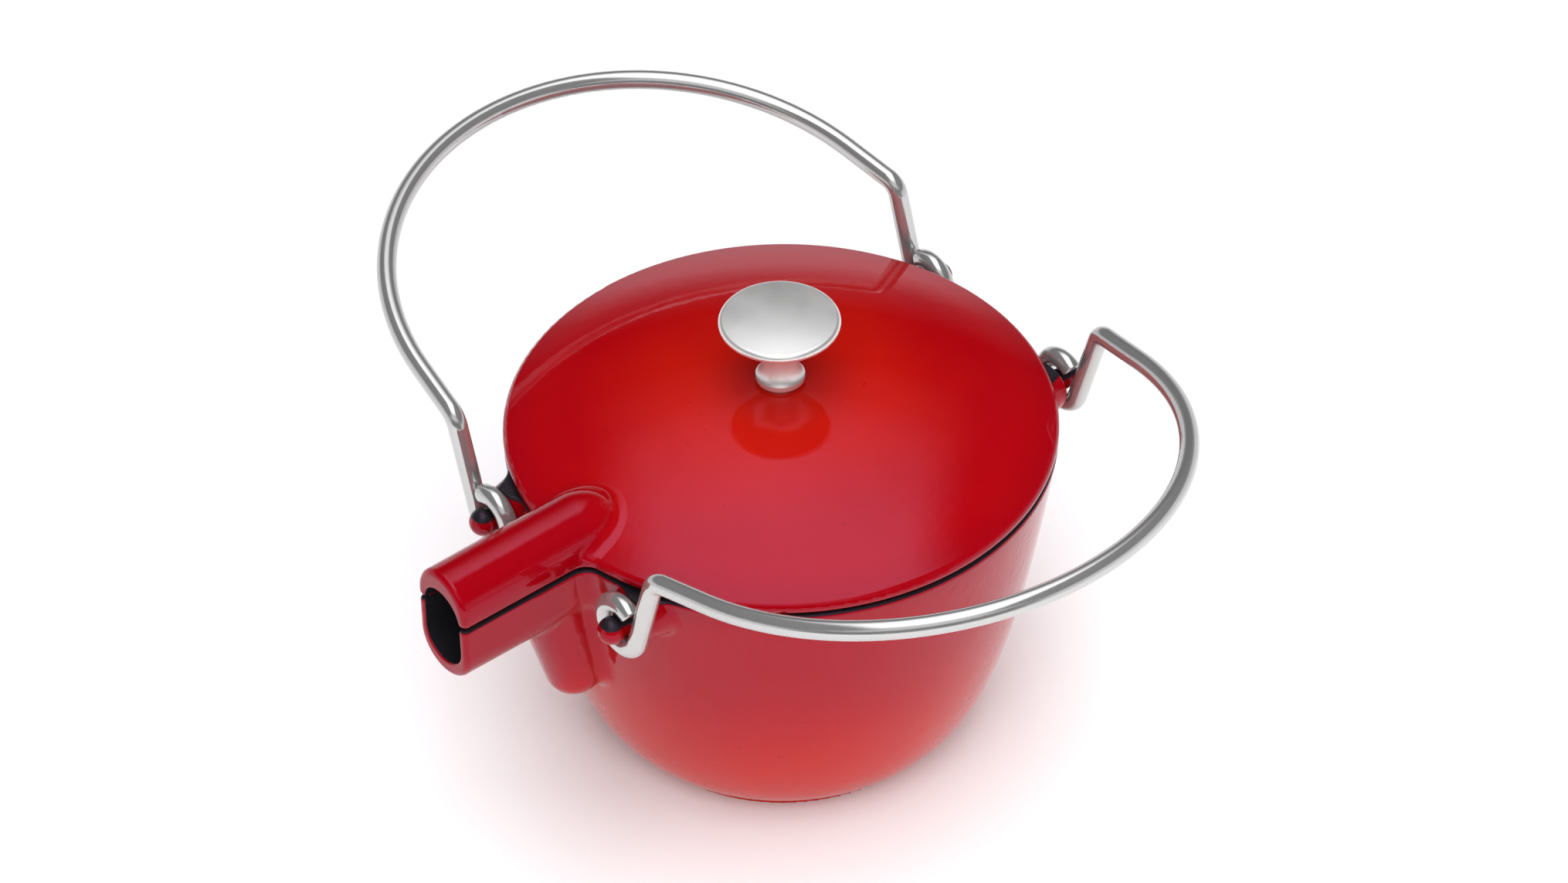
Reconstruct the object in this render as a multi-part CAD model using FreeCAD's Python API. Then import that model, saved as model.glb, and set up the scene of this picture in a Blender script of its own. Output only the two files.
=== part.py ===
import FreeCAD, Part
import math
import os

from FreeCAD import Vector

# Cast-iron stovetop kettle: a bowl with the lower half of its spout, a lid with the upper half,
# a steel knob, and two bent-wire handles that swing on four cast lugs.
# Millimetres and degrees. +X is the way the spout pours and +Z is up. The origin is the centre
# of the base, on the surface that the kettle stands on.

# Bowl
RIM_RADIUS = 82.5          # outside of the rim and of the lid's edge
RIM_HEIGHT = 106.0         # parting plane: flat top of the rim, of the spout trough and of the lugs
WALL = 4.0                 # casting thickness of the bowl
WALL_TAPER = 7.9           # lean of the bowl's side just under the rim, from vertical
SIDE_PULL = 66.0           # how far that lean carries down the side
BELLY_ANGLE = 28.0         # slope of the bowl where it reaches the foot, from horizontal
BELLY_PULL = 15.0          # how far that slope carries outwards
FOOT_RADIUS = 51.0         # ground foot that stands on the hob
FOOT_HEIGHT = 3.6
FOOT_STEP = 1.2            # the bowl overhangs the foot by this much
FOOT_EDGE = 0.9            # rounding at the foot's lower edge
FLOOR = 5.0                # thickness of the bottom
RIM_EDGE = 1.1             # rounding at the rim's outer edge

# Spout
SPOUT_REACH = 43.5         # rim to the front of the spout's lip
SPOUT_HALF_WIDTH = 11.1
SPOUT_WALL = 2.8           # thickness of the spout's sides
TROUGH_DEPTH = 22.1        # parting plane to the underside of the trough
TROUGH_FLOOR = 4.6         # thickness under the channel
ROOF_RISE_MOUTH = 14.9     # parting plane to the ridge, at the mouth
ROOF_RISE_ROOT = 15.6      # the same where the ridge starts to fall away to the dome
ROOF_INSET = 5.5           # rim inwards to where it starts to fall
ROOF_END = 15.0            # length of the ridge's falling end
CHANNEL_RISE = 8.6         # parting plane to the top of the channel
CHANNEL_INSET = 24.5       # rim inwards to where the channel opens into the bowl
SPOUT_CORNER = 5.5         # fillet where the spout runs into the bowl and into the lid
ROOF_LIP = 1.9             # rounding of the roof's lip
TROUGH_LIP = 1.8           # rounding of the trough's lip
CHANNEL_LIP = 0.7          # rounding of the channel's mouth

# Chin, the swelling that carries the spout's root down the bowl
CHIN_TOP_REACH = 6.4       # rim outwards to the middle of the chin's top
CHIN_TOP_DROP = 12.0       # parting plane down to it
CHIN_FOOT_INSET = 2.3      # rim inwards to the middle of the chin's round foot
CHIN_FOOT_DROP = 47.0      # parting plane down to it
CHIN_STEP = 0.7            # the trough's side stands out from the chin by this much
CHIN_TAPER = 1.4           # difference between the chin's radius at its top and at its foot
CHIN_BLEND = 4.5           # fillet between the chin, the bowl and the trough

# Lugs that carry the handles
LUG_Y = 30.5               # hinge axis to the kettle's middle plane
LUG_DROP = 6.9             # parting plane down to the hinge axis
LUG_FACE_INSET = 1.9       # rim inwards to the outer end of the lug's root
LUG_LENGTH = 14.6          # length of the root, most of it inside the bowl's wall
LUG_RADIUS = 7.2           # root at its outer end
LUG_INNER_RADIUS = 10.2    # root where it joins the bowl
LUG_EDGE = 1.2             # rounding at the root's outer end
LUG_BLEND = 3.0            # fillet between the root and the bowl
PEG_RADIUS = 3.5
BALL_RADIUS = 4.2
BALL_BEYOND = 0.7          # eye of the handle to the middle of the ball, clear of the wire

# Lid
LID_GAP = 0.6              # the lid's edge is held above the rim by this, on its seat
LID_EDGE = 4.4             # thickness of the lid's edge
LID_EDGE_ROUND = 2.1
DOME_RISE = 14.4           # top of the lid's edge to the top of the dome
LID_WALL = 4.0
SEAT_INSET = 2.3           # outline of the lid to its seat
GUIDE_CLEARANCE = 0.6      # guide ring to the inside of the bowl, at the ring's lower edge
GUIDE_WIDTH = 3.2
GUIDE_DEPTH = 5.0          # guide ring below the parting plane
BOSS_RADIUS = 11.0         # boss under the lid for the knob's screw
BOSS_DEPTH = 2.0
KNOB_SEAT_RADIUS = 8.2
KNOB_SEAT_DEPTH = 0.15

# Knob and its fixing
KNOB_RADIUS = 18.0
KNOB_RIM_ROUND = 1.45
KNOB_CROWN = 1.0           # dome of the knob's top
KNOB_HEIGHT = 20.9         # foot of the stem to the middle of the rim
STEM_FOOT_RADIUS = 7.3
STEM_FOOT_HEIGHT = 1.6
STEM_WAIST_RADIUS = 4.9
STEM_WAIST_HEIGHT = 10.5
COLLAR_RADIUS = 6.7
COLLAR_HEIGHT = 1.2
SCREW_RADIUS = 3.0
SCREW_GRIP = 10.0          # length of thread in the knob
SCREW_CLEARANCE = 0.3      # screw to the hole in the lid
SCREW_HEAD_RADIUS = 5.2
SCREW_HEAD_HEIGHT = 3.4
SCREW_HEAD_ROUND = 1.1
SLOT_WIDTH = 1.3
SLOT_DEPTH = 1.6
WASHER_RADIUS = 8.0
WASHER_HEIGHT = 1.2
SPRING_WASHER_RADIUS = 5.2
SPRING_WASHER_HEIGHT = 1.5
SPRING_WASHER_SPLIT = 0.9
WASHER_HOLE_CLEARANCE = 0.2

# Handles, as they lie folded out to the sides
WIRE_RADIUS = 3.0
PEG_PLAY = 1.0             # peg to the inside of the eye
EYE_GAP = 0.9              # lug's face to the wire of the eye
EYE_SWEEP = 290.0          # how far the eye closes round the peg
WIRE_END_ROUND = 0.6
LEG_LENGTH = 31.5
LEG_LEAN = 16.5            # leg from vertical, outwards
BOW_LEAN = 79.0            # plane of the bow from vertical, outwards
BOW_CENTRE = 9.4           # centre of the bow past the shoulders
SHOULDER_BEND = 5.5        # centre-line radius where the leg turns into the bow

# Worked out from the sizes above
MOUTH_X = RIM_RADIUS + SPOUT_REACH
CHANNEL_START_X = RIM_RADIUS - CHANNEL_INSET
CHANNEL_HALF_WIDTH = SPOUT_HALF_WIDTH - SPOUT_WALL
ROOF_ROOT_X = RIM_RADIUS - ROOF_INSET
CHIN_TOP = Vector(RIM_RADIUS + CHIN_TOP_REACH, 0, RIM_HEIGHT - CHIN_TOP_DROP)
CHIN_FOOT = Vector(RIM_RADIUS - CHIN_FOOT_INSET, 0, RIM_HEIGHT - CHIN_FOOT_DROP)
CHIN_TOP_RADIUS = SPOUT_HALF_WIDTH - CHIN_STEP
CHIN_FOOT_RADIUS = CHIN_TOP_RADIUS - CHIN_TAPER
LUG_FACE_X = RIM_RADIUS - LUG_FACE_INSET
LUG_INNER_X = LUG_FACE_X - LUG_LENGTH
EYE_RADIUS = PEG_RADIUS + PEG_PLAY + WIRE_RADIUS
EYE_X = LUG_FACE_X + EYE_GAP + WIRE_RADIUS
BALL_X = EYE_X + WIRE_RADIUS + BALL_BEYOND
BOW_RADIUS = RIM_RADIUS    # seen from above, the bows follow the rim
LID_UNDERSIDE = RIM_HEIGHT + LID_GAP
LID_EDGE_TOP = LID_UNDERSIDE + LID_EDGE
DOME_TOP = LID_EDGE_TOP + DOME_RISE
EDGE_CENTRE = Vector(RIM_RADIUS - LID_EDGE_ROUND, 0, LID_EDGE_TOP - LID_EDGE_ROUND)
EDGE_TO_TOP = DOME_TOP - EDGE_CENTRE.z
DOME_SPHERE = (EDGE_CENTRE.x**2 + EDGE_TO_TOP**2 - LID_EDGE_ROUND**2) / (2 * (EDGE_TO_TOP - LID_EDGE_ROUND))
DOME_CENTRE = DOME_TOP - DOME_SPHERE
GUIDE_OUTER = RIM_RADIUS - WALL - GUIDE_DEPTH * math.tan(math.radians(WALL_TAPER)) - GUIDE_CLEARANCE
GUIDE_INNER = GUIDE_OUTER - GUIDE_WIDTH
KNOB_SEAT_Z = DOME_TOP - KNOB_SEAT_DEPTH
BOSS_FACE = DOME_TOP - LID_WALL - BOSS_DEPTH
HINGE_Z = RIM_HEIGHT - LUG_DROP
X_AXIS = Vector(1, 0, 0)
Z_AXIS = Vector(0, 0, 1)
ORIGIN = Vector(0, 0, 0)
OVERSHOOT = 2.0            # cutting tools run past the faces they cut by this
TOLERANCE = 0.05           # for picking out the edges to round


def line(start, end):
    return Part.LineSegment(start, end).toShape()


def arc(start, middle, end):
    return Part.Arc(start, middle, end).toShape()


def bezier(poles):
    curve = Part.BezierCurve()
    curve.setPoles(poles)
    return curve.toShape()


def turned(edges):
    """Solid of revolution about Z of a closed outline in the XZ plane."""
    face = Part.Face(Part.Wire(edges))
    return face.revolve(ORIGIN, Z_AXIS, 360)


def cylinder(radius, height, base, axis=Z_AXIS):
    return Part.makeCylinder(radius, height, base, axis)


def box(low, high):
    size = high - low
    return Part.makeBox(size.x, size.y, size.z, low)


def corner_arc(centre, radius, start_angle, end_angle):
    """Arc in the XZ plane about centre, angles from +X towards +Z."""
    points = []
    for angle in (start_angle, (start_angle + end_angle) / 2, end_angle):
        turn = math.radians(angle)
        points.append(centre + Vector(radius * math.cos(turn), 0, radius * math.sin(turn)))
    return arc(*points)


def rounded(shape, radius, wanted):
    """Fillet the edges that wanted picks."""
    edges = [edge for edge in shape.Edges if wanted(edge)]
    if not edges:
        raise ValueError("no edge to round")
    return shape.makeFillet(radius, edges)


def lies_at(edge, x=None, z=None):
    """True for an edge that lies wholly in the plane at this x, or at this z."""
    bounds = edge.BoundBox
    if x is not None:
        return max(abs(bounds.XMin - x), abs(bounds.XMax - x)) < TOLERANCE
    return max(abs(bounds.ZMin - z), abs(bounds.ZMax - z)) < TOLERANCE


def joins(shape, edge, is_one_side):
    """True where one face beside the edge is on the given side of a join and the other isn't."""
    faces = shape.ancestorsOfType(edge, Part.Face)
    one_side = [face for face in faces if is_one_side(face.Surface)]
    return len(faces) == 2 and len(one_side) == 1


def is_tapered(surface):
    return surface.TypeId in ("Part::GeomCone", "Part::GeomSphere")


def is_lid_wide(surface):
    """Faces that run right round the lid: the dome, its rounded edge and its upright side."""
    if surface.TypeId == "Part::GeomToroid":
        return surface.MajorRadius > RIM_RADIUS / 2
    return surface.TypeId in ("Part::GeomSphere", "Part::GeomCylinder") and surface.Radius > RIM_RADIUS / 2


def one_solid(shape):
    """The one solid that a boolean left inside a compound."""
    shape = shape.removeSplitter()
    if len(shape.Solids) != 1:
        raise ValueError("expected one solid, found %d" % len(shape.Solids))
    return shape.Solids[0]


def side_curve(offset):
    """Poles of the bowl's side from the rim to the foot, moved into the wall by offset."""
    taper = math.radians(WALL_TAPER)
    slope = math.radians(BELLY_ANGLE)
    down = Vector(-math.sin(taper), 0, -math.cos(taper))
    outward = Vector(math.cos(slope), 0, math.sin(slope))
    into_belly = Vector(-math.sin(slope), 0, math.cos(slope))
    top = Vector(RIM_RADIUS - offset, 0, RIM_HEIGHT)
    bottom = Vector(FOOT_RADIUS + FOOT_STEP, 0, FOOT_HEIGHT) + into_belly * offset
    return [top, top + down * (SIDE_PULL - offset), bottom + outward * BELLY_PULL, bottom]


def bowl_outside():
    poles = side_curve(0)
    foot_centre = Vector(FOOT_RADIUS - FOOT_EDGE, 0, FOOT_EDGE)
    corners = [
        Vector(FOOT_RADIUS, 0, FOOT_HEIGHT),
        Vector(0, 0, RIM_HEIGHT),
        Vector(FOOT_RADIUS - FOOT_EDGE, 0, 0),
        Vector(FOOT_RADIUS, 0, FOOT_EDGE),
    ]
    outline = [
        line(ORIGIN, corners[2]),
        corner_arc(foot_centre, FOOT_EDGE, -90, 0),
        line(corners[3], corners[0]),
        line(corners[0], poles[3]),
        bezier(poles),
        line(poles[0], corners[1]),
        line(corners[1], ORIGIN),
    ]
    return turned(outline)


def bowl_cavity():
    poles = side_curve(WALL)
    run = (poles[3].z - FLOOR) / math.tan(math.radians(BELLY_ANGLE))
    floor_edge = Vector(poles[3].x - run, 0, FLOOR)
    above_rim = poles[0] + Z_AXIS * OVERSHOOT
    outline = [
        line(Vector(0, 0, FLOOR), floor_edge),
        line(floor_edge, poles[3]),
        bezier(poles),
        line(poles[0], above_rim),
        line(above_rim, Vector(0, 0, above_rim.z)),
        line(Vector(0, 0, above_rim.z), Vector(0, 0, FLOOR)),
    ]
    return turned(outline)


def u_section(x, half_width, depth, top):
    """Outline of a trough in the YZ plane: straight sides and a half-round bottom."""
    shoulder = top - depth + half_width
    points = [
        Vector(x, half_width, top),
        Vector(x, half_width, shoulder),
        Vector(x, 0, top - depth),
        Vector(x, -half_width, shoulder),
        Vector(x, -half_width, top),
    ]
    edges = [
        line(points[0], points[1]),
        arc(points[1], points[2], points[3]),
        line(points[3], points[4]),
        line(points[4], points[0]),
    ]
    return Part.Wire(edges)


def arch_section(x, half_width, rise, foot):
    """Outline of a roof in the YZ plane: straight sides and a half-round ridge."""
    shoulder = RIM_HEIGHT + rise - half_width
    points = [
        Vector(x, half_width, foot),
        Vector(x, half_width, shoulder),
        Vector(x, 0, RIM_HEIGHT + rise),
        Vector(x, -half_width, shoulder),
        Vector(x, -half_width, foot),
    ]
    edges = [
        line(points[0], points[1]),
        arc(points[1], points[2], points[3]),
        line(points[3], points[4]),
        line(points[4], points[0]),
    ]
    return Part.Wire(edges)


def trough_outside():
    section = u_section(CHANNEL_START_X, SPOUT_HALF_WIDTH, TROUGH_DEPTH, RIM_HEIGHT)
    return Part.Face(section).extrude(X_AXIS * (MOUTH_X - CHANNEL_START_X))


def channel_below():
    depth = TROUGH_DEPTH - TROUGH_FLOOR
    section = u_section(CHANNEL_START_X, CHANNEL_HALF_WIDTH, depth, RIM_HEIGHT)
    return Part.Face(section).extrude(X_AXIS * (MOUTH_X + OVERSHOOT - CHANNEL_START_X))


def channel_above():
    half_width = CHANNEL_HALF_WIDTH
    depth = GUIDE_DEPTH + OVERSHOOT
    section = arch_section(CHANNEL_START_X, half_width, CHANNEL_RISE, RIM_HEIGHT - depth)
    return Part.Face(section).extrude(X_AXIS * (MOUTH_X + OVERSHOOT - CHANNEL_START_X))


def plan_outline(inset, bottom, top):
    """Upright prism in the shape of the kettle seen from above: the rim and the spout."""
    height = top - bottom
    radius = RIM_RADIUS - inset
    half_width = SPOUT_HALF_WIDTH - inset
    round_part = cylinder(radius, height, Vector(0, 0, bottom))
    spout_part = box(Vector(0, -half_width, bottom), Vector(MOUTH_X - inset, half_width, top))
    shape = one_solid(round_part.fuse(spout_part))
    corner_x = math.sqrt(radius**2 - half_width**2)

    def corner(edge):
        middle = edge.BoundBox.Center
        upright = height - edge.BoundBox.ZLength < TOLERANCE
        at_corner = abs(middle.x - corner_x) < TOLERANCE and abs(abs(middle.y) - half_width) < TOLERANCE
        return upright and at_corner

    return rounded(shape, SPOUT_CORNER, corner)


def chin():
    """Tapered boss under the spout's root, with a round lower end."""
    axis = CHIN_FOOT - CHIN_TOP
    cone = Part.makeCone(CHIN_TOP_RADIUS, CHIN_FOOT_RADIUS, axis.Length, CHIN_TOP, axis)
    end = Part.makeSphere(CHIN_FOOT_RADIUS, CHIN_FOOT)
    return one_solid(cone.fuse(end))


def lug(end, side):
    """One lug: a flat-topped root and the peg with its ball; end and side are +1 or -1."""
    axis = X_AXIS * end
    centre = Vector(0, side * LUG_Y, HINGE_Z)
    root_start = centre + axis * LUG_INNER_X
    root = Part.makeCone(LUG_INNER_RADIUS, LUG_RADIUS, LUG_FACE_X - LUG_INNER_X, root_start, axis)
    face_x = end * LUG_FACE_X
    root = rounded(root, LUG_EDGE, lambda edge: lies_at(edge, x=face_x))
    above = box(Vector(-RIM_RADIUS * 2, -RIM_RADIUS * 2, RIM_HEIGHT),
                Vector(RIM_RADIUS * 2, RIM_RADIUS * 2, RIM_HEIGHT + LUG_INNER_RADIUS * 2))
    root = root.cut(above)
    peg = cylinder(PEG_RADIUS, BALL_X - LUG_INNER_X, root_start, axis)
    ball = Part.makeSphere(BALL_RADIUS, centre + axis * BALL_X)
    return one_solid(root.fuse([peg, ball]))


def at_spout_root(edge):
    """Edges where the trough's outside meets the bowl's side."""
    bounds = edge.BoundBox
    across = abs(bounds.Center.y) < SPOUT_HALF_WIDTH + TOLERANCE
    along = CHANNEL_START_X < bounds.XMin and bounds.XMax < RIM_RADIUS
    above = bounds.ZMin > RIM_HEIGHT - TROUGH_DEPTH - TOLERANCE
    return across and along and above and not lies_at(edge, z=RIM_HEIGHT)


def at_lug_root(shape, edge):
    """Edges where a lug meets the bowl's side."""
    middle = edge.BoundBox.Center
    beside = abs(abs(middle.y) - LUG_Y) < LUG_RADIUS and abs(middle.x) < LUG_FACE_X
    below_rim = not lies_at(edge, z=RIM_HEIGHT)
    flat_ring = lies_at(edge, x=middle.x)
    return beside and below_rim and not flat_ring and joins(shape, edge, is_tapered)


def kettle_body():
    """Bowl, lower half of the spout, chin and four lugs: one casting."""
    trough = trough_outside()
    trough = rounded(trough, TROUGH_LIP,
                     lambda edge: lies_at(edge, x=MOUTH_X) and not lies_at(edge, z=RIM_HEIGHT))
    shape = rounded(one_solid(bowl_outside().fuse(trough)), SPOUT_CORNER, at_spout_root)
    lugs = [lug(end, side) for end in (1, -1) for side in (1, -1)]
    shape = one_solid(shape.fuse(lugs))
    shape = rounded(shape, LUG_BLEND, lambda edge: at_lug_root(shape, edge))
    shape = rounded(shape, RIM_EDGE, lambda edge: lies_at(edge, z=RIM_HEIGHT))
    shape = one_solid(shape.fuse(chin()))
    shape = rounded(shape, CHIN_BLEND,
                    lambda edge: abs(edge.BoundBox.Center.y) < CHIN_TOP_RADIUS
                    and joins(shape, edge, is_tapered))
    shape = shape.cut(bowl_cavity())
    shape = one_solid(shape.cut(channel_below()))
    return rounded(shape, CHANNEL_LIP, is_channel_mouth)


def is_channel_mouth(edge):
    """Inner edge of the mouth's face, in the trough or in the roof."""
    bounds = edge.BoundBox
    narrow = max(abs(bounds.YMin), abs(bounds.YMax)) < CHANNEL_HALF_WIDTH + TOLERANCE
    low = bounds.ZMin > RIM_HEIGHT - TROUGH_DEPTH + TROUGH_FLOOR - TOLERANCE
    high = bounds.ZMax < RIM_HEIGHT + CHANNEL_RISE + TOLERANCE
    level = bounds.ZLength < TOLERANCE
    return lies_at(edge, x=MOUTH_X) and narrow and low and high and not level


def dome(sphere_radius, foot_radius, bottom):
    """Solid under a spherical cap: upright side at foot_radius, flat bottom."""
    centre = Vector(0, 0, DOME_CENTRE)
    foot = Vector(foot_radius, 0, DOME_CENTRE + math.sqrt(sphere_radius**2 - foot_radius**2))
    half = foot_radius / 2
    middle = Vector(half, 0, DOME_CENTRE + math.sqrt(sphere_radius**2 - half**2))
    top = centre + Z_AXIS * sphere_radius
    base_edge = Vector(foot_radius, 0, bottom)
    base = Vector(0, 0, bottom)
    outline = [
        arc(top, middle, foot),
        line(foot, base_edge),
        line(base_edge, base),
        line(base, top),
    ]
    return turned(outline)


def lid_disc():
    """The lid without its spout: dome, rounded edge and flat underside."""
    tilt = math.atan2(EDGE_CENTRE.z - DOME_CENTRE, EDGE_CENTRE.x)
    half = (tilt + math.pi / 2) / 2
    centre = Z_AXIS * DOME_CENTRE
    foot = centre + Vector(math.cos(tilt), 0, math.sin(tilt)) * DOME_SPHERE
    middle = centre + Vector(math.cos(half), 0, math.sin(half)) * DOME_SPHERE
    top = Z_AXIS * DOME_TOP
    side = Vector(RIM_RADIUS, 0, EDGE_CENTRE.z)
    low = Vector(RIM_RADIUS, 0, LID_UNDERSIDE)
    base = Z_AXIS * LID_UNDERSIDE
    outline = [
        arc(top, middle, foot),
        corner_arc(EDGE_CENTRE, LID_EDGE_ROUND, math.degrees(tilt), 0),
        line(side, low),
        line(low, base),
        line(base, top),
    ]
    return turned(outline)


def roof_end():
    """Back end of the ridge: half-round like the ridge, falling away along an ellipse."""
    base = RIM_HEIGHT + ROOF_RISE_ROOT - SPOUT_HALF_WIDTH
    height = base - LID_UNDERSIDE
    end = Part.makeSphere(SPOUT_HALF_WIDTH).fuse(cylinder(SPOUT_HALF_WIDTH, height, Z_AXIS * -height))
    stretch = FreeCAD.Matrix()
    stretch.scale(ROOF_END / SPOUT_HALF_WIDTH, 1, 1)
    end = one_solid(end).transformGeometry(stretch)
    end.translate(Vector(ROOF_ROOT_X, 0, base))
    return end


def roof_outside():
    """Ridge of the spout, a little higher at its root."""
    sections = [
        arch_section(ROOF_ROOT_X, SPOUT_HALF_WIDTH, ROOF_RISE_ROOT, LID_UNDERSIDE),
        arch_section(MOUTH_X, SPOUT_HALF_WIDTH, ROOF_RISE_MOUTH, LID_UNDERSIDE),
    ]
    ridge = Part.makeLoft(sections, True, True)
    below = box(Vector(0, -RIM_RADIUS, 0), Vector(MOUTH_X, RIM_RADIUS, LID_UNDERSIDE))
    return one_solid(ridge.fuse(roof_end())).cut(below)


def ring(outer, inner, bottom, top):
    return cylinder(outer, top - bottom, Vector(0, 0, bottom)).cut(
        cylinder(inner, top - bottom, Vector(0, 0, bottom)))


def lid():
    """Domed lid with the upper half of the spout, a seat, a guide ring and a boss below."""
    roof = roof_outside()
    roof = rounded(roof, ROOF_LIP,
                   lambda edge: lies_at(edge, x=MOUTH_X) and not lies_at(edge, z=LID_UNDERSIDE))
    shape = one_solid(lid_disc().fuse(roof))

    def round_roof(edge):
        bounds = edge.BoundBox
        across = abs(bounds.Center.y) < SPOUT_HALF_WIDTH + TOLERANCE
        along = bounds.XMin > 0 and bounds.XMax < RIM_RADIUS + TOLERANCE
        return across and along and not lies_at(edge, z=LID_UNDERSIDE) and joins(shape, edge, is_lid_wide)

    shape = rounded(shape, SPOUT_CORNER, round_roof)
    shape = rounded(shape, LID_EDGE_ROUND, lambda edge: lies_at(edge, z=LID_UNDERSIDE))
    shape = shape.cut(dome(DOME_SPHERE - LID_WALL, GUIDE_INNER, RIM_HEIGHT - GUIDE_DEPTH - OVERSHOOT))
    seat = plan_outline(SEAT_INSET, RIM_HEIGHT, LID_UNDERSIDE + OVERSHOOT)
    seat = seat.cut(cylinder(GUIDE_INNER, LID_GAP + OVERSHOOT, Z_AXIS * RIM_HEIGHT))
    guide = ring(GUIDE_OUTER, GUIDE_INNER, RIM_HEIGHT - GUIDE_DEPTH, LID_UNDERSIDE + OVERSHOOT / 2)
    boss = dome(DOME_SPHERE - LID_WALL / 2, BOSS_RADIUS, BOSS_FACE)
    shape = one_solid(shape.fuse(seat).fuse(guide).fuse(boss))
    screw_hole = cylinder(SCREW_RADIUS + SCREW_CLEARANCE, DOME_TOP, ORIGIN)
    knob_flat = cylinder(KNOB_SEAT_RADIUS, DOME_RISE, Z_AXIS * KNOB_SEAT_Z)
    shape = one_solid(shape.cut([screw_hole, knob_flat, channel_above()]))
    return rounded(shape, CHANNEL_LIP, is_channel_mouth)


def knob():
    base = KNOB_SEAT_Z + COLLAR_HEIGHT
    rim_z = base + KNOB_HEIGHT
    rim_centre = Vector(KNOB_RADIUS - KNOB_RIM_ROUND, 0, rim_z)
    top = Vector(0, 0, rim_z + KNOB_RIM_ROUND + KNOB_CROWN)
    rim_top = rim_centre + Z_AXIS * KNOB_RIM_ROUND
    rim_bottom = rim_centre - Z_AXIS * KNOB_RIM_ROUND
    crown_sphere = (rim_centre.x**2 + KNOB_CROWN**2) / (2 * KNOB_CROWN)
    half_way = rim_centre.x / 2
    crown_middle = Vector(half_way, 0, top.z - crown_sphere + math.sqrt(crown_sphere**2 - half_way**2))
    foot = Vector(STEM_FOOT_RADIUS, 0, base)
    foot_top = foot + Z_AXIS * STEM_FOOT_HEIGHT
    waist = Vector(STEM_WAIST_RADIUS, 0, base + STEM_WAIST_HEIGHT)
    flare = bezier([
        foot_top,
        Vector(STEM_WAIST_RADIUS, 0, foot_top.z + STEM_FOOT_HEIGHT),
        waist,
        Vector(STEM_WAIST_RADIUS, 0, rim_bottom.z - STEM_FOOT_HEIGHT),
        Vector(STEM_FOOT_RADIUS, 0, rim_bottom.z),
        rim_bottom,
    ])
    hole_edge = Vector(SCREW_RADIUS, 0, base)
    hole_top = hole_edge + Z_AXIS * SCREW_GRIP
    hole_end = Vector(0, 0, hole_top.z)
    outline = [
        line(hole_edge, foot),
        line(foot, foot_top),
        flare,
        corner_arc(rim_centre, KNOB_RIM_ROUND, -90, 90),
        arc(rim_top, crown_middle, top),
        line(top, hole_end),
        line(hole_end, hole_top),
        line(hole_top, hole_edge),
    ]
    return one_solid(turned(outline))


def washer(radius, height, bottom):
    hole = SCREW_RADIUS + WASHER_HOLE_CLEARANCE
    return ring(radius, hole, bottom, bottom + height)


def knob_collar():
    return washer(COLLAR_RADIUS, COLLAR_HEIGHT, KNOB_SEAT_Z)


def flat_washer():
    return washer(WASHER_RADIUS, WASHER_HEIGHT, BOSS_FACE - WASHER_HEIGHT)


def spring_washer():
    bottom = BOSS_FACE - WASHER_HEIGHT - SPRING_WASHER_HEIGHT
    coil = washer(SPRING_WASHER_RADIUS, SPRING_WASHER_HEIGHT, bottom)
    half = SPRING_WASHER_SPLIT / 2
    split = box(Vector(0, -half, bottom),
                Vector(SPRING_WASHER_RADIUS, half, bottom + SPRING_WASHER_HEIGHT))
    return one_solid(coil.cut(split))


def knob_screw():
    head_top = BOSS_FACE - WASHER_HEIGHT - SPRING_WASHER_HEIGHT
    head_bottom = head_top - SCREW_HEAD_HEIGHT
    head = cylinder(SCREW_HEAD_RADIUS, SCREW_HEAD_HEIGHT, Vector(0, 0, head_bottom))
    head = rounded(head, SCREW_HEAD_ROUND, lambda edge: lies_at(edge, z=head_bottom))
    tip = KNOB_SEAT_Z + COLLAR_HEIGHT + SCREW_GRIP
    shank = cylinder(SCREW_RADIUS, tip - head_top, Vector(0, 0, head_top))
    slot = box(Vector(-SCREW_HEAD_RADIUS, -SLOT_WIDTH / 2, head_bottom),
               Vector(SCREW_HEAD_RADIUS, SLOT_WIDTH / 2, head_bottom + SLOT_DEPTH))
    return one_solid(head.fuse(shank).cut(slot))


def bend(before, corner, after, radius):
    """Start, middle and end of the arc that rounds a corner of the wire."""
    back = (before - corner).normalize()
    ahead = (after - corner).normalize()
    half_opening = back.getAngle(ahead) / 2
    trim = radius / math.tan(half_opening)
    inward = (back + ahead).normalize()
    centre = corner + inward * (radius / math.sin(half_opening))
    return corner + back * trim, centre - inward * radius, corner + ahead * trim


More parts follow.
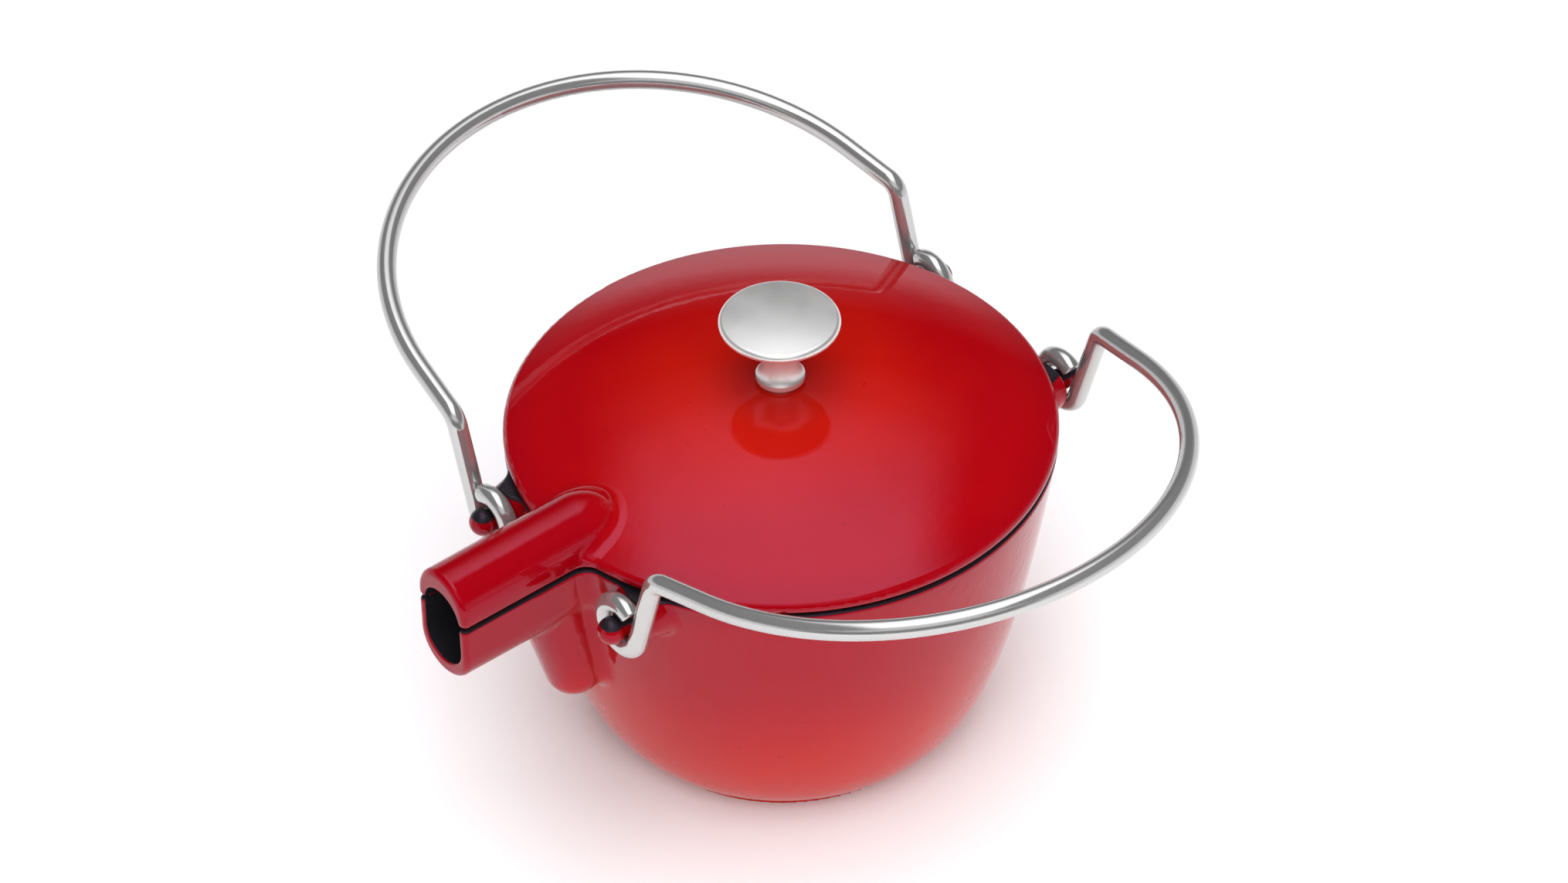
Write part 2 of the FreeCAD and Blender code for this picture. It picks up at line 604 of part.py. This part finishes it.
def handle(side):
    """One wire handle, folded out to the side that is given as +1 or -1."""
    lean = math.radians(LEG_LEAN)
    bow_lean = math.radians(BOW_LEAN)
    along_leg = Vector(0, side * math.sin(lean), math.cos(lean))
    outward = Vector(0, side * math.cos(lean), -math.sin(lean))
    along_bow = Vector(0, side * math.sin(bow_lean), math.cos(bow_lean))
    halves = []
    for end in (1, -1):
        eye = Vector(end * EYE_X, side * LUG_Y, HINGE_Z)

        def on_eye(angle):
            turn = math.radians(angle)
            return eye + (outward * math.cos(turn) + along_leg * math.sin(turn)) * EYE_RADIUS

        shoulder = on_eye(0) + along_leg * LEG_LENGTH
        bow_centre = Vector(0, shoulder.y, shoulder.z) + along_bow * BOW_CENTRE
        to_shoulder = math.atan2(-BOW_CENTRE, EYE_X)
        reach = math.hypot(BOW_CENTRE, EYE_X)
        tangent = to_shoulder + math.acos(BOW_RADIUS / reach)

        def on_bow(turn):
            return bow_centre + (X_AXIS * (end * math.cos(turn)) + along_bow * math.sin(turn)) * BOW_RADIUS

        start, middle, stop = bend(on_eye(0), shoulder, on_bow(tangent), SHOULDER_BEND)
        quarter = math.pi / 2
        halves.append([
            (on_eye(-EYE_SWEEP), on_eye(-EYE_SWEEP / 2), on_eye(0)),
            (on_eye(0), start),
            (start, middle, stop),
            (stop, on_bow(tangent)),
            (on_bow(tangent), on_bow((tangent + quarter) / 2), on_bow(quarter)),
        ])
    route = halves[0] + [tuple(reversed(points)) for points in reversed(halves[1])]
    edges = [arc(*points) if len(points) == 3 else line(*points) for points in route]
    first = route[0][0]
    direction = edges[0].tangentAt(edges[0].FirstParameter)
    section = Part.Wire(Part.makeCircle(WIRE_RADIUS, first, direction))
    wire = one_solid(Part.Wire(edges).makePipeShell([section], True, True))
    return rounded(wire, WIRE_END_ROUND,
                   lambda edge: joins(wire, edge, lambda surface: surface.TypeId == "Part::GeomPlane"))


def main():
    os.makedirs("parts", exist_ok=True)
    nodes = {
        "kettle_body": kettle_body(),
        "lid": lid(),
        "knob": knob(),
        "knob_collar": knob_collar(),
        "flat_washer": flat_washer(),
        "spring_washer": spring_washer(),
        "knob_screw": knob_screw(),
        "left_handle": handle(-1),
        "right_handle": handle(1),
    }
    for name, shape in nodes.items():
        shape.exportStep("parts/" + name + ".step")
        print(name, "valid", shape.isValid(), "volume", round(shape.Volume / 1000, 2), "cm3")


if __name__ == "__main__":
    main()
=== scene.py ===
import math

import bmesh
import bpy
from bpy.props import FloatProperty, FloatVectorProperty
from mathutils import Matrix, Vector


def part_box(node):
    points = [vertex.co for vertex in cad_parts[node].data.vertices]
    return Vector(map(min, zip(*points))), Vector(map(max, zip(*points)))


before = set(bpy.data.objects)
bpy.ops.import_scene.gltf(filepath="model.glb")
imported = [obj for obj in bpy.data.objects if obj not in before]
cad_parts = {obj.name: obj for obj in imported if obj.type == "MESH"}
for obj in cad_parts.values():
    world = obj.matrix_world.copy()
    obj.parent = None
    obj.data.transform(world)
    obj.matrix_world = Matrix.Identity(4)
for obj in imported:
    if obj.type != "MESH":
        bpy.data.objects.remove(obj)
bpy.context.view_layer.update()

bl_info = {
    "name": "Cast-iron kettle looks",
    "version": (1, 0, 0),
    "blender": (4, 5, 0),
    "location": "View3D > Sidebar > Kettle",
    "description": "Enamel, steel and studio for a stovetop kettle with two wire handles",
    "category": "Object",
}

MM = 0.001

# Places on the kettle, from the frame
LID_HIGH = Vector(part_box("lid")[1])
BODY_HIGH = Vector(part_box("kettle_body")[1])
RIM_RADIUS = LID_HIGH.y              # outside of the lid and of the rim
RIM_Z = BODY_HIGH.z                  # flat top of the rim
MOUTH_X = BODY_HIGH.x                # front of the spout's lip

# Limits of the masks below, each close to an edge of the castings
CHANNEL_SIDE = 8.65 * MM             # from the middle plane, just past the channel's side
CHANNEL_BOTTOM = 88.4 * MM           # height, just under the channel's bottom
LID_BOTTOM = 106.6 * MM              # height of the lid's flat underside
SEAT_EDGE = 80.5 * MM                # radius, just past the lid's seat
LUG_FACE = 82.2 * MM                 # along X, just past the lugs' faces
LUG_SIDE = 22.5 * MM                 # from the middle plane, just short of the lugs
UPWARD = (0.45, 0.65)                # a surface's upward share, where it starts and ends turning black

# Enamel
ENAMEL_IOR = 1.37
ENAMEL_GLOSS = (1.0, 0.60, 0.95)     # what the enamel mirrors is tinted by its own red
CLOUD_SIZE = 45 * MM                 # light and dark patches
SPECK_SIZE = 1.6 * MM                # flecks in the red, grain of the black
FLECK = (0.70, 0.80)                 # height of the specks where a fleck starts and is full
PEEL_SIZE = 2.8 * MM                 # fine waves of the glossy skin
SWELL_SIZE = 22 * MM                 # slow waves under them
GRAIN_DEPTH = 0.05 * MM              # of the matt black
GLOSSY = (0.035, 0.07)               # roughness of the red, from patch to patch
MATT = (0.24, 0.42)                  # roughness of the black, from speck to speck

# Steel
SMUDGE_SIZE = 12 * MM
SCRATCH_SIZE = 1.2 * MM
TURNING_MARK = 0.22 * MM             # width of the marks that turning leaves
WORN = (0.7, 1.35)                   # share of the roughness where polished and where smudged

# Sockets of the Mix node, which has its own for each kind of data
SHARE = 0
NUMBERS, NUMBER_OUT = (2, 3), 0
COLOURS, COLOUR_OUT = (6, 7), 2

# Studio
LAMP_AIM = Vector((0, 0, 100 * MM))  # what the lamps face
STRIP = (0.26, 0.40)                 # to the side, where the strip overhead gives way
FRONT = (0.55, 0.85)                 # towards the camera, where the dark room starts

# How bright the studio is at each height, as pairs of the height's sine and the light
OVERHEAD = ((0.0, 0.9), (1.0, 2.6), (0.12, 0.9), (0.24, 0.22), (0.36, 0.02), (0.56, 0.04), (0.68, 0.25),
            (0.82, 1.2), (0.93, 2.3))
SIDES = ((0.0, 0.9), (1.0, 0.10), (0.12, 0.9), (0.24, 0.30), (0.36, 0.05))
BEFORE = ((0.0, 0.05), (1.0, 1.2), (0.34, 0.05), (0.46, 0.60), (0.75, 1.2))


# ---------------------------------------------------------------- node helpers


class Nodes:
    """A material's node tree with short ways to add and link nodes."""

    def __init__(self, material):
        material.use_nodes = True
        self.tree = material.node_tree
        self.tree.nodes.clear()
        self.output = self.tree.nodes.new("ShaderNodeOutputMaterial")
        self.coordinates = self.tree.nodes.new("ShaderNodeTexCoord")

    def link(self, source, target):
        self.tree.links.new(source, target)

    def feed(self, node, index, value):
        if hasattr(value, "is_output"):
            self.link(value, node.inputs[index])
        elif value is not None:
            node.inputs[index].default_value = value

    def math(self, operation, first, second=None, clamp=False):
        node = self.tree.nodes.new("ShaderNodeMath")
        node.operation = operation
        node.use_clamp = clamp
        for index, value in enumerate((first, second)):
            self.feed(node, index, value)
        return node.outputs[0]

    def step(self, value, low, high):
        """0 below low, 1 above high, smooth between. Swap the two for a fall."""
        node = self.tree.nodes.new("ShaderNodeMapRange")
        node.interpolation_type = "SMOOTHSTEP"
        falls = low > high
        self.feed(node, "Value", value)
        node.inputs["From Min"].default_value = min(low, high)
        node.inputs["From Max"].default_value = max(low, high)
        node.inputs["To Min"].default_value = 1.0 if falls else 0.0
        node.inputs["To Max"].default_value = 0.0 if falls else 1.0
        return node.outputs["Result"]

    def place(self, normal=False):
        """x, y and z of the point, or of the surface's direction, on the object."""
        node = self.tree.nodes.new("ShaderNodeSeparateXYZ")
        self.link(self.coordinates.outputs["Normal" if normal else "Object"], node.inputs[0])
        return node.outputs

    def radius(self):
        """Distance from the upright axis."""
        x, y, _ = self.place()
        squares = self.math("ADD", self.math("MULTIPLY", x, x), self.math("MULTIPLY", y, y))
        return self.math("SQRT", squares)

    def noise(self, size, detail, stretch=(1, 1, 1)):
        """Noise with features about size metres across, from 0 to 1."""
        mapping = self.tree.nodes.new("ShaderNodeMapping")
        mapping.inputs["Scale"].default_value = stretch
        self.link(self.coordinates.outputs["Object"], mapping.inputs["Vector"])
        node = self.tree.nodes.new("ShaderNodeTexNoise")
        node.inputs["Scale"].default_value = 1.0 / size
        node.inputs["Detail"].default_value = detail
        self.link(mapping.outputs[0], node.inputs["Vector"])
        return node.outputs[0]

    def mix(self, share, first, second):
        node = self.tree.nodes.new("ShaderNodeMix")
        node.data_type = "RGBA"
        for socket, value in zip((SHARE, *COLOURS), (share, first, second)):
            self.feed(node, socket, value)
        return node.outputs[COLOUR_OUT]

    def blend(self, share, first, second):
        """Mix of two numbers."""
        node = self.tree.nodes.new("ShaderNodeMix")
        for socket, value in zip((SHARE, *NUMBERS), (share, first, second)):
            self.feed(node, socket, value)
        return node.outputs[NUMBER_OUT]

    def bump(self, height, depth, under=None):
        node = self.tree.nodes.new("ShaderNodeBump")
        node.inputs["Distance"].default_value = depth
        self.link(height, node.inputs["Height"])
        if under is not None:
            self.link(under, node.inputs["Normal"])
        return node.outputs[0]

    def finish(self, colour, roughness, normal, metallic=0.0, ior=1.5, gloss_tint=(1, 1, 1)):
        shader = self.tree.nodes.new("ShaderNodeBsdfPrincipled")
        self.feed(shader, "Base Color", colour)
        self.feed(shader, "Roughness", roughness)
        self.feed(shader, "Metallic", metallic)
        shader.inputs["IOR"].default_value = ior
        shader.inputs["Specular Tint"].default_value = rgba(gloss_tint)
        if normal is not None:
            self.link(normal, shader.inputs["Normal"])
        self.link(shader.outputs[0], self.output.inputs[0])


def rgba(colour):
    return (colour[0], colour[1], colour[2], 1.0)


def give(node_name, material):
    """Puts the material on every slot of a CAD node."""
    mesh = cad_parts[node_name].data
    mesh.materials.clear()
    mesh.materials.append(material)


# ------------------------------------------------------------------- materials


def enamel(name, colours, peel_depth, is_dark, is_painted_shade, is_painted_light):
    """Glossy red enamel: painted shade in dark red, painted light in orange, light and dark patches at
    random, black where there is none.
    """
    material = bpy.data.materials.new(name)
    n = Nodes(material)
    cloud = n.noise(CLOUD_SIZE, 3.0)
    speck = n.noise(SPECK_SIZE, 2.0)
    patches = n.math("MULTIPLY", n.math("SUBTRACT", cloud, 0.5), 0.5)
    # Painted light from the mask, plus light and dark patches at random
    bright = n.math("ADD", is_painted_light(n), patches, clamp=True)
    red = n.mix(bright, rgba(colours.cherry), rgba(colours.orange))
    # Painted shade: the deep red where the mask lies
    red = n.mix(is_painted_shade(n), red, rgba(colours.deep))
    flecked = n.mix(n.step(speck, *FLECK), red, rgba(colours.deep))
    dark = is_dark(n)
    colour = n.mix(dark, flecked, rgba(colours.bare))
    gloss = n.blend(cloud, *GLOSSY)
    roughness = n.blend(dark, gloss, n.blend(speck, *MATT))
    peel = n.bump(n.noise(PEEL_SIZE, 1.5), peel_depth)
    swell = n.bump(n.noise(SWELL_SIZE, 1.0), peel_depth * 3, under=peel)
    grain = n.bump(n.math("MULTIPLY", speck, dark), GRAIN_DEPTH, under=swell)
    n.finish(colour, roughness, grain, ior=ENAMEL_IOR, gloss_tint=ENAMEL_GLOSS)
    return material


def all_of(n, *masks):
    product = masks[0]
    for mask in masks[1:]:
        product = n.math("MULTIPLY", product, mask)
    return product


def behind_mouth(n, x):
    """The channel's black stops just short of the lip."""
    return n.step(x, MOUTH_X - 0.25 * MM, MOUTH_X - 0.6 * MM)


def body_is_dark(n):
    """Matt black: inside the bowl and the channel, on the rim, on the lugs' flat tops and on the balls."""
    x, y, z = n.place()
    _, _, up = n.place(normal=True)
    side = n.math("ABSOLUTE", y)
    within_rim = n.step(n.radius(), RIM_RADIUS - 0.8 * MM, RIM_RADIUS - 1.2 * MM)
    inside = all_of(n, n.step(up, 0.03, 0.09), within_rim)
    flat_top = all_of(n, n.step(up, *UPWARD), n.step(z, RIM_Z - 0.9 * MM, RIM_Z - 0.6 * MM))
    narrow = n.step(side, CHANNEL_SIDE + 0.1 * MM, CHANNEL_SIDE - 0.1 * MM)
    above = n.step(z, CHANNEL_BOTTOM - 0.1 * MM, CHANNEL_BOTTOM + 0.1 * MM)
    channel = all_of(n, narrow, above, n.step(x, 72 * MM, 76 * MM), behind_mouth(n, x))
    past_lug = n.step(n.math("ABSOLUTE", x), LUG_FACE - 0.2 * MM, LUG_FACE + 0.2 * MM)
    beside = n.step(side, LUG_SIDE - 0.5 * MM, LUG_SIDE + 0.5 * MM)
    ball = all_of(n, n.step(up, 0.45, 0.62), past_lug, beside)
    return n.math("MAXIMUM", n.math("MAXIMUM", inside, flat_top), n.math("MAXIMUM", channel, ball))


def body_is_painted_shade(n):
    """Painted shade: darker red on the spout and close under the rim."""
    x, _, z = n.place()
    spout = n.step(x, 84 * MM, 94 * MM)
    rim = n.step(z, RIM_Z - 9 * MM, RIM_Z)
    return n.math("MAXIMUM", n.math("MULTIPLY", spout, 0.75), n.math("MULTIPLY", rim, 0.55))


def body_is_painted_light(n):
    """Painted light: lighter red towards the foot, a painted reflection of the bright floor."""
    _, _, z = n.place()
    return n.step(z, 82 * MM, 12 * MM)


def lid_is_dark(n):
    """Matt black: the underside, the guide ring and the roof of the channel."""
    x, y, z = n.place()
    _, _, up = n.place(normal=True)
    below = n.step(z, LID_BOTTOM + 0.02 * MM, LID_BOTTOM - 0.05 * MM)
    faces_down = n.step(up, -0.02, -0.10)
    under_lid = n.step(n.radius(), SEAT_EDGE + 0.3 * MM, SEAT_EDGE - 0.2 * MM)
    under_roof = n.step(n.math("ABSOLUTE", y), CHANNEL_SIDE + 0.15 * MM, CHANNEL_SIDE - 0.15 * MM)
    within = n.math("MAXIMUM", under_lid, under_roof)
    return n.math("MAXIMUM", below, all_of(n, faces_down, within, behind_mouth(n, x)))


def lid_is_painted_shade(n):
    """Painted shade: darker red on the spout's roof and at the lid's edge."""
    x, y, _ = n.place()
    edge = n.step(n.radius(), 70 * MM, 83 * MM)
    roof = all_of(n, n.step(x, 62 * MM, 84 * MM), n.step(n.math("ABSOLUTE", y), 17 * MM, 12 * MM))
    return n.math("MAXIMUM", n.math("MULTIPLY", edge, 0.6), n.math("MULTIPLY", roof, 0.85))


def lid_is_painted_light(n):
    """Painted light: lighter red towards the middle of the lid."""
    return n.math("MULTIPLY", n.step(n.radius(), 70 * MM, 14 * MM), 0.6)


def steel(name, colour, roughness, scratch_depth, turned=False, drawn=None, metallic=1.0):
    """Polished steel with faint scratches: turned in rings, drawn along the wire, or plain."""
    material = bpy.data.materials.new(name)
    n = Nodes(material)
    smudge = n.noise(SMUDGE_SIZE, 3.0)
    if turned:
        lines = n.tree.nodes.new("ShaderNodeTexNoise")
        lines.noise_dimensions = "1D"
        lines.inputs["Scale"].default_value = 1.0
        lines.inputs["Detail"].default_value = 2.0
        n.link(n.math("DIVIDE", n.radius(), TURNING_MARK), lines.inputs["W"])
        marks = lines.outputs[0]
    else:
        marks = n.noise(SCRATCH_SIZE, 3.0, stretch=drawn or (1, 1, 1))
    worn = n.blend(smudge, *(roughness * share for share in WORN))
    tint = n.mix(smudge, rgba([c * 0.93 for c in colour]), rgba(colour))
    n.finish(tint, worn, n.bump(marks, scratch_depth), metallic=metallic)
    return material


# ------------------------------------------------------------------ properties


class KettleEnamel(bpy.types.PropertyGroup):
    cherry: FloatVectorProperty(name="Cherry", description="Red of the enamel on the lid and the sides",
                                subtype="COLOR", size=3, min=0, max=1, default=(0.325, 0.0006, 0.003))
    # The orange also shows painted light, on the lid's middle and towards the foot, besides the patches at
    # random.
    orange: FloatVectorProperty(name="Orange", description="Lighter red where the enamel lies thick",
                                subtype="COLOR", size=3, min=0, max=1, default=(0.50, 0.012, 0.002))
    # The deep red also shows painted shade, on the spout, under the rim and at the lid's edge, besides the
    # flecks.
    deep: FloatVectorProperty(name="Deep", description="Dark red where the enamel is thin",
                              subtype="COLOR", size=3, min=0, max=1, default=(0.25, 0.0004, 0.004))
    bare: FloatVectorProperty(name="Matt black", description="Inside of the kettle and its rim",
                              subtype="COLOR", size=3, min=0, max=1, default=(0.010, 0.010, 0.012))
    peel_body: FloatProperty(name="Peel on the body",
                             description="Depth of the enamel's fine waves on the bowl",
                             unit="LENGTH", min=0, default=0.10 * MM)
    peel_lid: FloatProperty(name="Peel on the lid", description="Depth of the enamel's fine waves on the lid",
                            unit="LENGTH", min=0, default=0.016 * MM)


class KettleSteel(bpy.types.PropertyGroup):
    wire: FloatVectorProperty(name="Wire", description="Colour of the polished wire handles",
                              subtype="COLOR", size=3, min=0, max=1, default=(0.56, 0.555, 0.545))
    wire_roughness: FloatProperty(name="Wire roughness", description="Roughness of the polished wire",
                                  min=0, max=1, default=0.11)
    knob: FloatVectorProperty(name="Knob", description="Colour of the turned knob",
                              subtype="COLOR", size=3, min=0, max=1, default=(0.90, 0.89, 0.86))
    knob_roughness: FloatProperty(name="Knob roughness", description="Roughness of the turned knob",
                                  min=0, max=1, default=0.34)


class KettleStudio(bpy.types.PropertyGroup):
    azimuth: FloatProperty(name="Azimuth",
                           description="Camera's direction round the kettle, 0 looks along +Y",
                           unit="ROTATION", default=math.radians(140.97))
    elevation: FloatProperty(name="Elevation", description="Camera's angle above the horizon",
                             unit="ROTATION", default=math.radians(41.0))
    roll: FloatProperty(name="Roll", description="Camera's tilt about its own line of sight",
                        unit="ROTATION", default=math.radians(-0.76))
    distance: FloatProperty(name="Distance", description="Camera to the middle of the lid",
                            unit="LENGTH", default=1.6235)
    lens: FloatProperty(name="Lens", description="Focal length in millimetres", unit="CAMERA", default=125.71)
    aim_right: FloatProperty(name="Aim right",
                             description="Middle of the lid to the line of sight, to the right",
                             unit="LENGTH", default=-0.9 * MM)
    aim_up: FloatProperty(name="Aim up", description="Middle of the lid to the line of sight, upwards",
                          unit="LENGTH", default=5.6 * MM)
    lid_z: FloatProperty(name="Lid height", description="Height of the middle of the lid's edge",
                         unit="LENGTH", default=108.5 * MM)
    backdrop: FloatVectorProperty(name="Backdrop", description="Colour of the floor",
                                  subtype="COLOR", size=3, min=0, max=1, default=(0.93, 0.93, 0.93))


# ------------------------------------------------------------------- operators


class KETTLE_OT_body(bpy.types.Operator):
    """Enamel the bowl with its spout, chin and lugs"""

    bl_idname = "kettle.body"
    bl_label = "Bowl"

    def execute(self, context):
        colours = context.scene.kettle_enamel
        give("kettle_body", enamel("enamel_body", colours, colours.peel_body,
                                   body_is_dark, body_is_painted_shade, body_is_painted_light))
        return {"FINISHED"}


class KETTLE_OT_lid(bpy.types.Operator):
    """Enamel the lid and the roof of its spout"""

    bl_idname = "kettle.lid"
    bl_label = "Lid"

    def execute(self, context):
        colours = context.scene.kettle_enamel
        give("lid", enamel("enamel_lid", colours, colours.peel_lid, lid_is_dark, lid_is_painted_shade, lid_is_painted_light))
        return {"FINISHED"}


class KETTLE_OT_knob(bpy.types.Operator):
    """Polish the knob and its fixings"""

    bl_idname = "kettle.knob"
    bl_label = "Knob and fixings"

    def execute(self, context):
        finish = context.scene.kettle_steel
        give("knob", steel("knob_steel", list(finish.knob), finish.knob_roughness,
                           0.003 * MM, turned=True, metallic=0.82))
        plain = steel("fixing_steel", [c * 0.8 for c in finish.knob], 0.30, 0.01 * MM, turned=True)
        for name in ("knob_collar", "flat_washer", "spring_washer", "knob_screw"):
            give(name, plain)
        return {"FINISHED"}


class KETTLE_OT_handles(bpy.types.Operator):
    """Polish the two wire handles"""

    bl_idname = "kettle.handles"
    bl_label = "Handles"

    def execute(self, context):
        finish = context.scene.kettle_steel
        polished = steel("wire_steel", list(finish.wire), finish.wire_roughness, 0.0012 * MM,
                         drawn=(0.2, 1, 1), metallic=0.78)
        for name in ("left_handle", "right_handle"):
            give(name, polished)
        return {"FINISHED"}


def look_frame(azimuth, elevation, roll=0.0):
    """Right, up and back of a camera that looks down at the kettle from this side."""
    back = Vector((math.sin(azimuth) * math.cos(elevation), -math.cos(azimuth) * math.cos(elevation),
                   math.sin(elevation)))
    right = Vector((math.cos(azimuth), math.sin(azimuth), 0))
    up = back.cross(right)
    turned_right = right * math.cos(roll) + up * math.sin(roll)
    turned_up = up * math.cos(roll) - right * math.sin(roll)
    return turned_right, turned_up, back


def place(thing, right, up, back, location):
    matrix = Matrix((right, up, back)).transposed().to_4x4()
    matrix.translation = location
    thing.matrix_world = matrix


def softbox(name, azimuth, elevation, distance, width, height, power):
    """Rectangular area light that faces the kettle and shows in no reflection."""
    light = bpy.data.lights.new(name, "AREA")
    light.shape = "RECTANGLE"
    light.size = width
    light.size_y = height
    light.energy = power
    lamp = bpy.data.objects.new(name, light)
    bpy.context.collection.objects.link(lamp)
    right, up, back = look_frame(math.radians(azimuth), math.radians(elevation))
    place(lamp, right, up, back, LAMP_AIM + back * distance)
    lamp.visible_glossy = False


class Sky:
    """World whose light depends on the direction, for the glossy parts to mirror."""

    def __init__(self, azimuth):
        self.world = bpy.data.worlds.new("studio")
        self.world.use_nodes = True
        self.tree = self.world.node_tree
        self.direction = self.tree.nodes.new("ShaderNodeTexCoord").outputs["Generated"]
        right, _, back = look_frame(azimuth, 0.0)
        self.right = self.along(right)
        self.front = self.along(back)
        self.height = self.along(Vector((0, 0, 1)))

    def along(self, axis):
        node = self.tree.nodes.new("ShaderNodeVectorMath")
        node.operation = "DOT_PRODUCT"
        node.inputs[1].default_value = axis
        self.tree.links.new(self.direction, node.inputs[0])
        return node.outputs["Value"]

    def heights(self, pairs):
        ramp = self.tree.nodes.new("ShaderNodeValToRGB")
        self.tree.links.new(self.height, ramp.inputs[0])
        stops = ramp.color_ramp.elements
        for index, (height, light) in enumerate(pairs):
            stop = stops[index] if index < 2 else stops.new(height)
            stop.position = height
            stop.color = (light, light, light * 1.04, 1)
        return ramp.outputs[0]

    def size(self, value):
        node = self.tree.nodes.new("ShaderNodeMath")
        node.operation = "ABSOLUTE"
        self.tree.links.new(value, node.inputs[0])
        return node.outputs[0]

    def mix(self, value, low, high, first, second):
        """The first light where the value is below low, the second where it is above high."""
        share = self.tree.nodes.new("ShaderNodeMapRange")
        share.interpolation_type = "SMOOTHSTEP"
        share.inputs["From Min"].default_value = low
        share.inputs["From Max"].default_value = high
        self.tree.links.new(value, share.inputs["Value"])
        node = self.tree.nodes.new("ShaderNodeMix")
        node.data_type = "RGBA"
        for socket, light in zip((SHARE, *COLOURS), (share.outputs["Result"], first, second)):
            self.tree.links.new(light, node.inputs[socket])
        return node.outputs[COLOUR_OUT]


def sky(azimuth):
    """Studio round the kettle: a pale wall, a bright strip overhead and a dark room before it."""
    studio = Sky(azimuth)
    light = studio.mix(studio.size(studio.right), *STRIP, studio.heights(OVERHEAD), studio.heights(SIDES))
    light = studio.mix(studio.front, *FRONT, light, studio.heights(BEFORE))
    studio.tree.links.new(light, studio.tree.nodes["Background"].inputs["Color"])
    return studio.world


def add_floor(backdrop):
    mesh = bpy.data.meshes.new("floor")
    build = bmesh.new()
    bmesh.ops.create_grid(build, x_segments=1, y_segments=1, size=6.0)
    build.to_mesh(mesh)
    build.free()
    floor = bpy.data.objects.new("floor", mesh)
    bpy.context.collection.objects.link(floor)
    material = bpy.data.materials.new("floor_paper")
    n = Nodes(material)
    shade = n.mix(n.noise(0.4, 2.0), rgba([c * 0.99 for c in backdrop]), rgba(backdrop))
    n.finish(shade, 0.9, None)
    mesh.materials.append(material)


def add_camera(studio):
    camera = bpy.data.cameras.new("camera")
    camera.lens = studio.lens
    camera.sensor_width = 36.0
    camera.clip_start = 0.05
    camera_object = bpy.data.objects.new("camera", camera)
    bpy.context.collection.objects.link(camera_object)
    right, up, back = look_frame(studio.azimuth, studio.elevation, studio.roll)
    middle = Vector((0, 0, studio.lid_z))
    location = middle + back * studio.distance - right * studio.aim_right - up * studio.aim_up
    place(camera_object, right, up, back, location)
    bpy.context.scene.camera = camera_object


class KETTLE_OT_stage(bpy.types.Operator):
    """Set the floor, the sky, the lights and the camera"""

    bl_idname = "kettle.stage"
    bl_label = "Studio"

    def execute(self, context):
        studio = context.scene.kettle_studio
        add_floor(studio.backdrop)
        context.scene.world = sky(studio.azimuth)
        softbox("key_box", azimuth=141, elevation=80, distance=1.6, width=1.9, height=1.9, power=14)
        softbox("fill_box", azimuth=141, elevation=34, distance=1.6, width=1.6, height=1.2, power=16)
        softbox("side_box", azimuth=217, elevation=36, distance=1.4, width=0.8, height=1.3, power=3)
        add_camera(studio)
        context.scene.view_settings.view_transform = "Standard"
        return {"FINISHED"}


class KETTLE_PT_panel(bpy.types.Panel):
    bl_idname = "KETTLE_PT_panel"
    bl_label = "Kettle"
    bl_space_type = "VIEW_3D"
    bl_region_type = "UI"
    bl_category = "Kettle"

    def draw(self, context):
        for group in ("kettle_enamel", "kettle_steel", "kettle_studio"):
            settings = getattr(context.scene, group)
            for name in settings.__annotations__:
                self.layout.prop(settings, name)
        for operator in OPERATORS:
            self.layout.operator(operator.bl_idname)


GROUPS = {"kettle_enamel": KettleEnamel, "kettle_steel": KettleSteel, "kettle_studio": KettleStudio}
OPERATORS = (KETTLE_OT_body, KETTLE_OT_lid, KETTLE_OT_knob, KETTLE_OT_handles, KETTLE_OT_stage)


def register():
    for name, group in GROUPS.items():
        bpy.utils.register_class(group)
        setattr(bpy.types.Scene, name, bpy.props.PointerProperty(type=group))
    for operator in OPERATORS:
        bpy.utils.register_class(operator)
    bpy.utils.register_class(KETTLE_PT_panel)


def unregister():
    bpy.utils.unregister_class(KETTLE_PT_panel)
    for operator in reversed(OPERATORS):
        bpy.utils.unregister_class(operator)
    for name, group in GROUPS.items():
        delattr(bpy.types.Scene, name)
        bpy.utils.unregister_class(group)


def main():
    register()
    bpy.ops.kettle.body()
    bpy.ops.kettle.lid()
    bpy.ops.kettle.knob()
    bpy.ops.kettle.handles()
    bpy.ops.kettle.stage()


if __name__ == "__main__":
    main()
